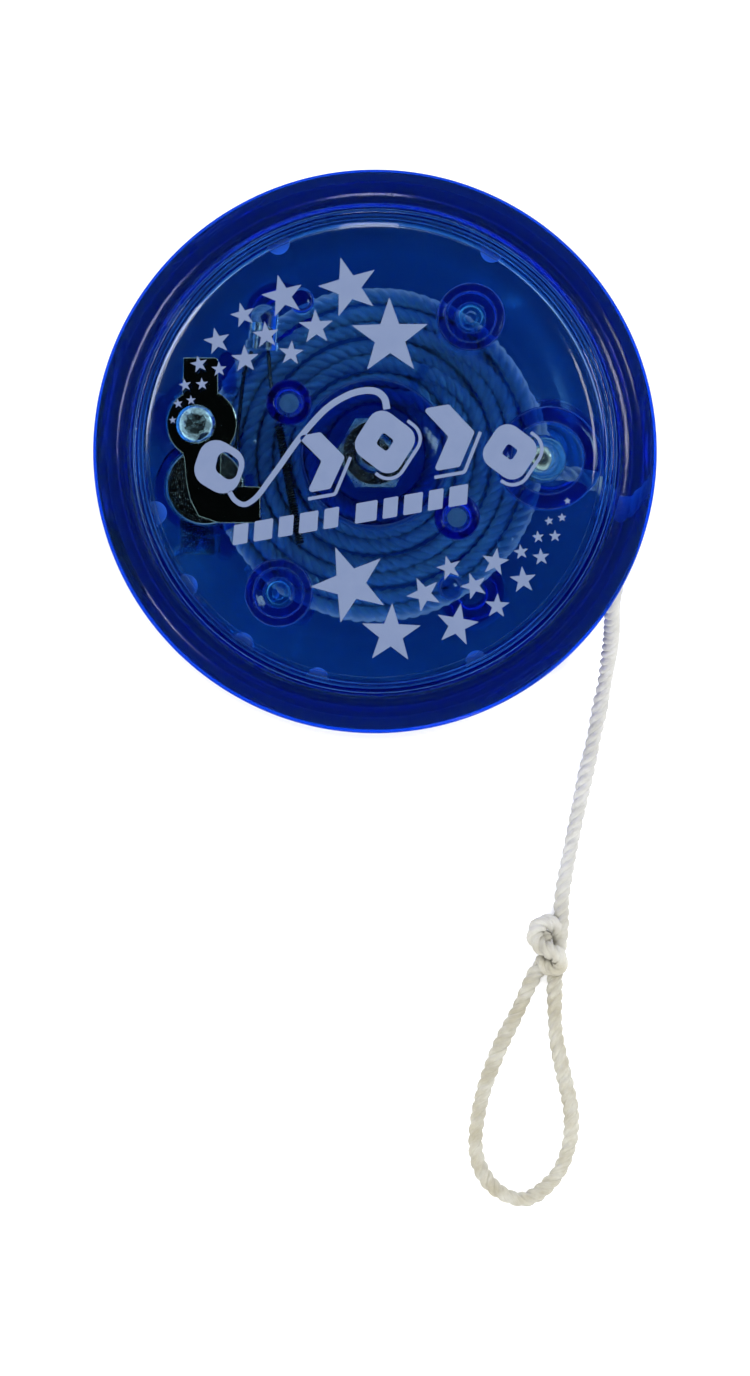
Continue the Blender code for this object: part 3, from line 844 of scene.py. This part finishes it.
# How high the shell's floor, its hub, the lens's underside and its face stand, and how deep the
# features run into the floor.
FLOOR = 3.8
HUB_TOP = 9.2
LENS_LOW = 14.8
LENS_TOP = 16.2
SUNK = 0.4
RIB_COUNT = 28
POCKET_FLATS = 8.0
NUT_FLATS = 7.0


def shell():
    profile = (
        (25.0, 17.0, 0.12),
        (28.5, 17.0, 2.5),
        (28.5, 2.95, 4.4),
        (24.0, 2.85, 2.0),
        (17.6, 2.3, 3.0),
        (2.2, 2.3, 0.2),
        (2.2, HUB_TOP, 0.2),
        (7.6, HUB_TOP, 0.3),
        (7.6, FLOOR, 0.3),
        (23.1, FLOOR, 0.1),
        (23.2, LENS_LOW, 0.1),
        (24.7, LENS_LOW, 0.08),
        (24.7, 16.5, 0.25),
    )
    obj = turned("shell", profile, BLUE_SHELL, 256, ring=True)
    low = FLOOR - SUNK
    tools = []
    ribs = []
    for index in range(RIB_COUNT):
        along = np.exp(2j * math.pi * index / RIB_COUNT)
        for radius, side in ((7.9, -0.25), (11.2, -0.2), (11.2, 0.2), (7.9, 0.25)):
            corner = (radius + 1j * side) * along
            ribs.append((corner.real, corner.imag))
    tools.append(slab("starburst", [ribs, circle((0, 0), 5.9, 56)], 2.05, 2.7, BLUE_SHELL))
    wall = arc(CELL_AT, 5.0, 105, 375, 48) + arc(CELL_AT, 4.15, 375, 105, 48)
    tools.append(slab("cell_wall", [wall], low, 11.0, BLUE_SHELL))
    block = arc((-15.0, 9.4), 0.8, 0, 180, 10) + arc((-14.75, 6.6), 0.7, 180, 360, 10)
    tools.append(slab("locating_block", [block], low, 11.7, BLUE_SHELL))
    across = np.exp(1j * math.radians(60))
    rib = [p * across for p in (7.2 - 0.5j, 10.3 - 0.5j, 10.3 + 0.5j, 7.2 + 0.5j)]
    tools.append(slab("stiffener", [[(p.real, p.imag) for p in rib]], low, 6.5, BLUE_SHELL))
    wall = ((5.3, 10.5, 0.25), (5.3, low, 0), (3.6, low, 0), (3.6, 10.5, 0.25))
    tools.append(turned("ball_wall", wall, BLUE_SHELL, 96, True, BALL_POCKET_AT))
    post = ((2.1, 11.9, 0.1), (2.1, low, 0), (1.2, low, 0), (1.2, 11.9, 0.1))
    tools.append(turned("screw_post", post, BLUE_SHELL, 40, True, SCREW_AT))
    for index, at in enumerate(BOSSES):
        steps = (
            (3.45, 14.5, 0.2),
            (3.45, low, 0),
            (1.5, low, 0),
            (1.5, 12.5, 0.2),
            (2.5, 12.5, 0.15),
            (2.5, 14.5, 0.2),
        )
        tools.append(turned(f"boss_{index}", steps, BLUE_SHELL, 72, True, at))
    for index, at in enumerate(PINS):
        pin = ((0, 8.5, 0), (1.3, 8.5, 0.45), (1.3, low, 0), (0, low, 0))
        tools.append(turned(f"pin_{index}", pin, BLUE_SHELL, 40, False, at))
    for index, at in enumerate(EJECTOR_MARKS):
        disc = ((0, 4.0, 0), (1.1, 4.0, 0.08), (1.1, low, 0), (0, low, 0))
        tools.append(turned(f"ejector_{index}", disc, BLUE_SHELL, 36, False, at))
    combined(obj, tools)
    pocket = slab("pocket", [hexagon(POCKET_FLATS, 0.3)], 6.5, 9.7, BLUE_SHELL)
    combined(obj, [pocket], "DIFFERENCE")
    both_halves(obj, "moulded_shell", "blue_shell", "shell")


# Lens and its print

# The middles of the frosted half-discs under the lens edge.
GATE_MARKS = (
    (-22.23, -6.24),
    (-19.1, -13.62),
    (-13.44, -19.48),
    (-5.86, -23.01),
    (10.31, -21.3),
    (-9.8, 21.04),
    (11.82, 20.23),
)
# The inner radius and the width of each matt line that shows between the lens and its ledge.
WELD_LINES = ((23.42, 0.16), (23.78, 0.22), (24.14, 0.2))
# Each star's x, y, radius and lean, and how its twin in the lower sweep leans.
STAR_SWEEP = (
    (-2.62, 16.52, 3.13, 16, -2),
    (-9.28, 15.61, 2.22, 14, -10),
    (1.51, 11.48, 4.03, 1, 22),
    (-13.31, 13.7, 1.31, 15, -3),
    (-5.95, 12.49, 1.82, 3, 25),
    (-10.99, 11.68, 1.41, 6, 20),
    (-15.94, 11.07, 1.41, 12, 5),
    (-13.11, 9.26, 1.46, 3, -9),
    (-8.47, 9.86, 1.31, -4, 15),
    (-17.75, 8.76, 0.91, 12, 4),
    (-15.73, 8.25, 0.81, 2, 8),
    (-19.16, 6.64, 0.66, 10, 0),
    (-17.45, 6.74, 0.66, 4, 6),
    (-19.87, 4.77, 0.5, 8, 3),
    (-18.56, 5.12, 0.5, 2, 12),
    (-20.41, 3.11, 0.4, 5, 5),
)


def lens():
    """The disc with its edge groove, and what hangs from it or shows under it."""
    profile = (
        (0, LENS_TOP, 0),
        (21.8, LENS_TOP, 0),
        (22.1, 16.198, 0),
        (22.4, 16.185, 0),
        (23.15, 16.145, 0.05),
        (23.3, 16.05, 0.05),
        (23.7, 16.05, 0.05),
        (23.85, LENS_TOP, 0.05),
        (24.45, LENS_TOP, 0.3),
        (24.45, 15.0, 0.1),
        (22.83, 15.0, 0.03),
        (22.8, LENS_LOW, 0.05),
        (0, LENS_LOW, 0),
    )
    obj = turned("lens", profile, BLUE_LENS, 256)
    tubes = []
    for index, at in enumerate(TUBES):
        tube = (
            (2.3, 14.78, 0.1),
            (2.3, 8.6, 0.2),
            (1.0, 8.6, 0.2),
            (1.0, 12.6, 0.1),
            (1.45, 12.9, 0.1),
            (1.45, 14.78, 0.1),
        )
        tubes.append(turned(f"tube_{index}", tube, DEEP_BLUE, 64, True, at))
    both_halves(combined(tubes[0], tubes[1:]), "disc_tubes", "blue_lens")
    tools = []
    for index, at in enumerate(BOSSES):
        peg = ((1.2, 15.2, 0), (1.2, 10.5, 0.15), (0.6, 10.5, 0.1), (0.6, 15.2, 0))
        tools.append(turned(f"peg_{index}", peg, BLUE_LENS, 40, True, at))
    combined(obj, tools)
    both_halves(obj, "side_disc", "blue_lens", "lens")
    marks = []
    for x, y in GATE_MARKS:
        inward = math.degrees(math.atan2(-y, -x))
        marks.append(arc((x, y), 1.2, inward - 90, inward + 90, 16))
    obj = slab("gates", marks, 14.45, 14.75, FROSTED, 0.08)
    both_halves(obj, "disc_gate_marks", "blue_lens")
    weld = []
    for index, (inner, width) in enumerate(WELD_LINES):
        outer = inner + width
        line = ((inner, 14.84, 0), (outer, 14.84, 0), (outer, 14.96, 0), (inner, 14.96, 0))
        weld.append(turned(f"weld_{index}", line, WELD, 256, True))
    both_halves(combined(weld[0], weld[1:]), "disc_weld_lines", "blue_lens")
    ends = [circle(at, 0.97) for at in TUBES]
    both_halves(slab("tube_ends", ends, 11.6, 11.9, MATT_END), "disc_tube_ends", "blue_lens")


# The curved printed line, from the left diamond to the middle one.
SWOOSH = (
    (-14.7, -4.1),
    (-14.1, -5.0),
    (-13.1, -5.4),
    (-11.9, -4.6),
    (-10.7, -3.0),
    (-9.6, -1.5),
    (-7.6, 1.3),
    (-5.1, 4.1),
    (-3.0, 5.5),
    (-1.3, 6.05),
    (0.1, 6.0),
    (0.95, 5.3),
    (1.2, 4.2),
)


def star(x, y, radius, lean):
    """A five-pointed star whose top point leans this many degrees to the left."""
    inner = 0.4 * radius
    return [
        (x + r * math.cos(a), y + r * math.sin(a))
        for k in range(10)
        for r, a in [((radius, inner)[k % 2], math.radians(90 + lean + 36 * k))]
    ]


def stroke(route, width, taper=0.0):
    """The outline of a line drawn along a route, thinner towards its start by taper."""
    line = np.array([complex(*point) for point in route])
    ahead = np.gradient(line)
    reach = 0.5j * ahead / abs(ahead) * width * (1 - taper * np.linspace(1, 0, len(line)))
    edge = np.concatenate([line + reach, (line - reach)[::-1]])
    return [(p.real, p.imag) for p in edge]


def tilted(outline, x, y, degrees=10):
    """An outline drawn about the origin, leant to the left and moved to (x, y)."""
    turn = np.exp(1j * math.radians(degrees))
    points = [complex(*p) * turn + complex(x, y) for p in outline]
    return [(p.real, p.imag) for p in points]


def diamond(across, tall, rounding):
    corners = ((across / 2, 0), (0, tall / 2), (-across / 2, 0), (0, -tall / 2))
    return rounded([(*c, rounding) for c in corners], True, 6)


def motif():
    """Plain shapes where the photographed disc has a legend: none of them is a letter.

    gap is how far each outer line stands off its shape, and line is how wide it is.
    """
    out = []
    gap, line = 0.62, 0.34
    for x, y, across, tall in ((1.0, 0.9, 7.2, 7.8), (13.6, -0.1, 6.6, 7.0)):
        out.append(tilted(diamond(across, tall, 1.5), x, y))
        out.append(tilted(diamond(across * 0.26, tall * 0.26, 0.3), x, y))
        w, h = across / 2 + gap, tall / 2 + gap
        route = [(w * 0.62, h * 0.38, 0), (w, 0, 1.7), (0, -h, 1.7), (-w * 0.35, -h * 0.65, 0)]
        beside = even_line(rounded(route, False, 8), 0.15)
        out.append(tilted(stroke(beside, line), x, y))
    for x, y, across, tall, thick in ((-5.2, -1.0, 4.4, 5.8, 2.4), (7.7, 1.5, 4.8, 6.4, 2.7)):
        w, h = across / 2, tall / 2
        corners = ((-w, h), (thick - w, h), (w, 0), (thick - w, -h), (-w, -h), (w - thick, 0))
        out.append(tilted(rounded([(*c, 0.3) for c in corners], True, 4), x, y))
        bend = (thick - w + gap * 0.6, -h - gap, 0.3)
        route = [(w + gap * 0.9, -0.1, 0), bend, (-w, -h - gap, 0)]
        beside = even_line(rounded(route, False, 6), 0.15)
        out.append(tilted(stroke(beside, line), x, y))
    out.append(tilted(diamond(6.2, 7.6, 1.8), -15.7, -1.6, 20))
    out.append(tilted(diamond(2.7, 4.2, 0.8), -14.9, -1.5, 20))
    path = smooth_route([(x, y, 0) for x, y in SWOOSH], 0.3)
    out.append(stroke([(x, y) for x, y, _ in path], 0.72, 0.3))
    place = -15.8
    for width in (1.5, 1.9, 1.5, 1.9, 1.5, 0, 2.2, 1.5, 1.9, 1.5, 1.9):
        if width:
            corners = ((0, 0), (width, 0), (width + 0.5, 2.0), (0.5, 2.0))
            bar = [(x + place, y - 6.9) for x, y in corners]
            out.append(tilted(rounded([(*c, 0.12) for c in bar], True, 3), 0, 0))
        place += (width or 0.5) + 0.62
    return out


def printed():
    """Two sweeps of stars, the lower one the upper one turned round, and the plain motif."""
    outlines = motif()
    for x, y, radius, lean, lower_lean in STAR_SWEEP:
        outlines.append(star(x, y, radius, lean))
        outlines.append(star(-x - 1.0, -y - 1.95, radius, lower_lean))
    obj = slab("front_disc_print", outlines, 16.21, 16.25, INK, sharp=30)
    placed(obj, "front", "housing", "blue_lens")


# Light module

LED_BASE = (-11.65, 10.6, 5.75)
LED_TIP = (-11.15, 15.3, 5.75)
TICKS = 44
PLATE_LOW = 12.1
PLATE_TOP = 12.5
SPRING_ROOT = (-9.8, 2.9, 7.5)
SPRING_TIP = (-7.65, -9.35, 7.5)


def aimed(obj, start, end):
    """Turns a piece made along Z at the origin so that it runs from one point to the other."""
    reach = Vector(end) - Vector(start)
    turn = reach.to_track_quat("Z", "Y").to_matrix().to_4x4()
    obj.data.transform(Matrix.Translation(Vector(start) * MM) @ turn)
    return obj


def contact_plate():
    """The flat pressing with its eye, its tongue over the cells and its turned-down end."""
    eye = (-17.55, 2.85)
    outline = rounded(
        [(-15.9, 5.9, 0.3), (-15.9, 9.55, 0.35), (-19.45, 9.55, 0.35)], False, 5
    )
    outline += arc(eye, 3.55, 123, 237, 40)
    outline += [(-19.35, -0.6), (-19.1, -3.2), (-18.7, -4.9), (-17.9, -6.5), (-15.9, -7.2)]
    outline += [(-11.62, -7.2), (-11.62, -3.55), (-14.9, -3.4), (-15.6, -2.5), (-15.6, -0.4)]
    outline += arc(eye, 3.55, -47, 60, 40)
    hole = circle(SCREW_AT, 1.2)
    obj = slab("plate", [outline, hole], PLATE_LOW, PLATE_TOP, BLACK_STEEL, 0.06)
    bend = rounded(
        [
            (-13.0, PLATE_TOP, 0),
            (-11.5, PLATE_TOP, 0.6),
            (-11.5, 5.6, 0.08),
            (-11.9, 5.6, 0.08),
            (-11.9, PLATE_LOW, 0.25),
            (-13.0, PLATE_LOW, 0),
        ],
        True,
    )
    end = slab("plate_end", [bend], -7.2, -3.55, BLACK_STEEL, 0.05)
    end.data.transform(Matrix(((1, 0, 0, 0), (0, 0, 1, 0), (0, 1, 0, 0), (0, 0, 0, 1))))
    end.data.flip_normals()
    combined(obj, [end], sharp=18)
    both_halves(obj, "plate_pressing", "black_steel", "contact_plate")


def contact_screw():
    """A domed head with a cross recess: two wedge slots and a cone."""
    seat = 12.7
    profile = (
        (0, seat + 1.25, 0),
        (0.9, seat + 1.19, 1.5),
        (1.7, seat + 0.95, 0.5),
        (1.98, seat + 0.55, 0.12),
        (2.0, seat, 0.12),
        (1.0, seat, 0.05),
        (1.0, seat - 6.0, 0.1),
        (0, seat - 6.8, 0),
    )
    obj = turned("screw", profile, NICKEL, 64, False, SCREW_AT)
    low, high = seat + 0.2, seat + 1.5
    cuts = []
    for index, angle in enumerate((35, 125)):
        along = np.exp(1j * math.radians(angle))
        wedge = []
        for height, long, wide in ((low, 0.5, 0.08), (high, 1.45, 0.46)):
            for p in (long + 1j * wide, -long + 1j * wide, -long - 1j * wide, long - 1j * wide):
                at = p * along + complex(*SCREW_AT)
                wedge.append((at.real, at.imag, height))
        sides = [(i, (i + 1) % 4, (i + 1) % 4 + 4, i + 4) for i in range(4)]
        mesh = mesh_of(f"slot_{index}", wedge, [(0, 1, 2, 3), (4, 5, 6, 7), *sides])
        cuts.append(linked(f"slot_{index}", mesh, NICKEL))
    cone = ((0, high, 0), (0.95, high, 0), (0.3, seat + 0.1, 0.05), (0, seat + 0.1, 0))
    cuts.append(turned("socket", cone, NICKEL, 24, False, SCREW_AT))
    combined(obj, cuts, "DIFFERENCE")
    both_halves(obj, "pan_screw", "screw_steel", "contact_screw")


def cells():
    """Two stacked cells, each a stepped can with fine ticks round its top."""
    for kind, bottom in (("inner_cell", 4.6), ("outer_cell", 8.35)):
        top = bottom + 3.6
        profile = (
            (0, top, 0),
            (3.95, top, 0.22),
            (3.95, bottom + 0.4, 0.2),
            (3.35, bottom + 0.25, 0.08),
            (3.2, bottom, 0.12),
            (0, bottom, 0),
        )
        obj = turned(kind, profile, CELL_CAN, 80, False, CELL_AT)
        ticks = []
        for index in range(TICKS):
            along = np.exp(2j * math.pi * index / TICKS)
            long = 3.15 if index % 4 else 3.35
            corners = ((2.7, -0.05), (long, -0.05), (long, 0.05), (2.7, 0.05))
            points = [complex(*c) * along + complex(*CELL_AT) for c in corners]
            outline = [(p.real, p.imag) for p in points]
            ticks.append(slab(f"tick_{index}", [outline], top - 0.03, top + 0.03, CELL_CAN))
        combined(obj, ticks)
        both_halves(obj, kind + "_can", "cell_steel", kind)


def led():
    length = (Vector(LED_TIP) - Vector(LED_BASE)).length
    profile = (
        (0, length, 0),
        (1.45, length, 1.35),
        (1.45, 0.9, 0.05),
        (1.7, 0.9, 0.1),
        (1.7, 0, 0.1),
        (0, 0, 0),
    )
    obj = aimed(turned("led", profile, RESIN, 56, arc_steps=10), LED_BASE, LED_TIP)
    both_halves(obj, "led_lamp", "clear_resin", "led")
    cup = (
        (0, 2.35, 0),
        (0.2, 2.35, 0.05),
        (0.5, 2.75, 0.03),
        (0.6, 2.75, 0.03),
        (0.55, 1.9, 0.05),
        (0.22, 1.5, 0.1),
        (0.2, 0.1, 0.03),
        (0, 0.1, 0),
    )
    post = turned("post", cup, NICKEL, 24, at=(0.42, 0))
    anvil = ((-0.62, 0.1), (-0.3, 0.1), (-0.3, 1.7), (-0.1, 2.3), (-0.3, 2.55), (-0.8, 2.1))
    plate = slab("anvil", [anvil], -0.15, 0.15, NICKEL, 0.04)
    plate.data.transform(Matrix.Rotation(math.pi / 2, 4, "X"))
    for kind, piece in (("led_cup_post", post), ("led_anvil", plate)):
        both_halves(aimed(piece, LED_BASE, LED_TIP), kind, "leg_steel")


def legs():
    cell_leg = (
        (-12.6, 10.5, 5.75),
        (-13.0, 9.3, 5.5),
        (-13.4, 8.2, 5.1),
        (-14.0, 3.0, 4.4),
        (-14.15, 1.4, 4.2),
        (-14.8, -0.2, 4.15),
        (-17.2, -3.4, 4.15),
    )
    switch_leg = (
        (-10.9, 10.5, 5.75),
        (-10.75, 8.6, 6.2),
        (-10.6, 7.0, 6.9),
        (-10.15, 4.8, 7.4),
        (-9.9, 3.45, 7.5),
    )
    for kind, route in (("led_cell_leg", cell_leg), ("led_switch_leg", switch_leg)):
        path = smooth_route(route, 0.3)
        path[:, 2] = np.maximum(path[:, 2], 4.07)
        obj = swept(kind, path, round_section(0.22, 12), TINNED, taper=0.8)
        both_halves(obj, kind + "_wire", "leg_steel", kind)


def switch_spring():
    """A close-wound coil of 0.23 mm wire."""
    wire, pitch = 0.115, 0.262
    length = (Vector(SPRING_TIP) - Vector(SPRING_ROOT)).length
    turns = (length - 2 * wire) / pitch
    t = np.linspace(0, 1, int(turns * 14))
    angle = 2 * np.pi * turns * t
    reach = 0.48 - wire
    helix = np.stack(
        [reach * np.cos(angle), reach * np.sin(angle), wire + t * turns * pitch], axis=1
    )
    obj = aimed(
        swept("spring", helix, round_section(wire, 8), SPRING_WIRE, taper=0.7),
        SPRING_ROOT,
        SPRING_TIP,
    )
    both_halves(obj, "switch_coil", "spring_steel", "switch_spring", "{side}_switch")


def ball():
    steps, radius, middle = 40, 2.5, 6.45
    angles = [math.pi * i / steps for i in range(steps + 1)]
    profile = [(radius * math.sin(a), middle + radius * math.cos(a), 0) for a in angles]
    obj = turned("ball", profile, POLISHED, 72, at=BALL_AT)
    both_halves(obj, "bearing_ball", "ball_steel", "weight_ball", "{side}_weight")


# Axle


def thread(outer, low, high, tip, pitch=0.7):
    """The profile of a threaded end, from its tip down, as rings of the right pitch."""
    corners = [(0, tip, 0), (outer - 0.45, tip, 0.1)]
    height = tip - 0.4
    while height - pitch > low:
        corners += [(outer, height, 0.04), (outer - 0.38, height - pitch / 2, 0.05)]
        height -= pitch
    return [*corners, (outer, height, 0.03), (outer, high, 0)]


def axle():
    """The bolt in the rear half's pocket, the nut in the front half's, and the CAD's own sleeve."""
    head_top = MIDDLE - 6.5 - 0.2
    head_low = head_top - 2.8
    head = slab("bolt_head", [hexagon(NUT_FLATS, 0.2)], head_low, head_top, ZINC, 0.12)
    dome = (
        (0, head_top, 0),
        (3.9, head_top, 0),
        (4.1, head_top - 1.6, 0.3),
        (3.3, head_low, 0.2),
        (0, head_low, 0),
    )
    combined(head, [turned("head_dome", dome, ZINC, 64)], "INTERSECT")
    shank = thread(1.95, MIDDLE + 4.5, head_top - 0.5, MIDDLE + 11.0)
    combined(head, [turned("shank", (*shank, (0, head_top - 0.5, 0)), ZINC, 48)])
    head.name = "axle_bolt_m4"
    flats_kept(head)
    placed(head, "", "housing", "zinc_steel", "axle_bolt")
    low = MIDDLE + 6.7
    top = low + 3.2
    nut = slab("nut", [hexagon(NUT_FLATS, 0.12)], low, top, ZINC)
    chamfer = (
        (0, top, 0),
        (3.25, top, 0.1),
        (4.1, low + 2.5, 0),
        (4.1, low, 0),
        (0, low, 0),
    )
    combined(nut, [turned("chamfer", chamfer, ZINC, 72)], "INTERSECT")
    hole = (
        (0, low + 3.4, 0),
        (2.45, low + 3.4, 0),
        (2.1, low + 2.75, 0.05),
        (2.1, low + 0.3, 0.05),
        (2.4, low - 0.2, 0),
        (0, low - 0.2, 0),
    )
    combined(nut, [turned("hole", hole, ZINC, 48)], "DIFFERENCE")
    nut.name = "axle_nut_m4"
    flats_kept(nut)
    placed(nut, "", "housing", "zinc_steel", "axle_nut")
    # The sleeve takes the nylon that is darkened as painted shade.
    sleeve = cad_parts["axle_sleeve"]
    sleeve.data.materials.clear()
    sleeve.data.materials.append(SHADED_NYLON)


camera()
studio()
string()
shell()
lens()
printed()
contact_plate()
contact_screw()
cells()
led()
legs()
switch_spring()
ball()
axle()
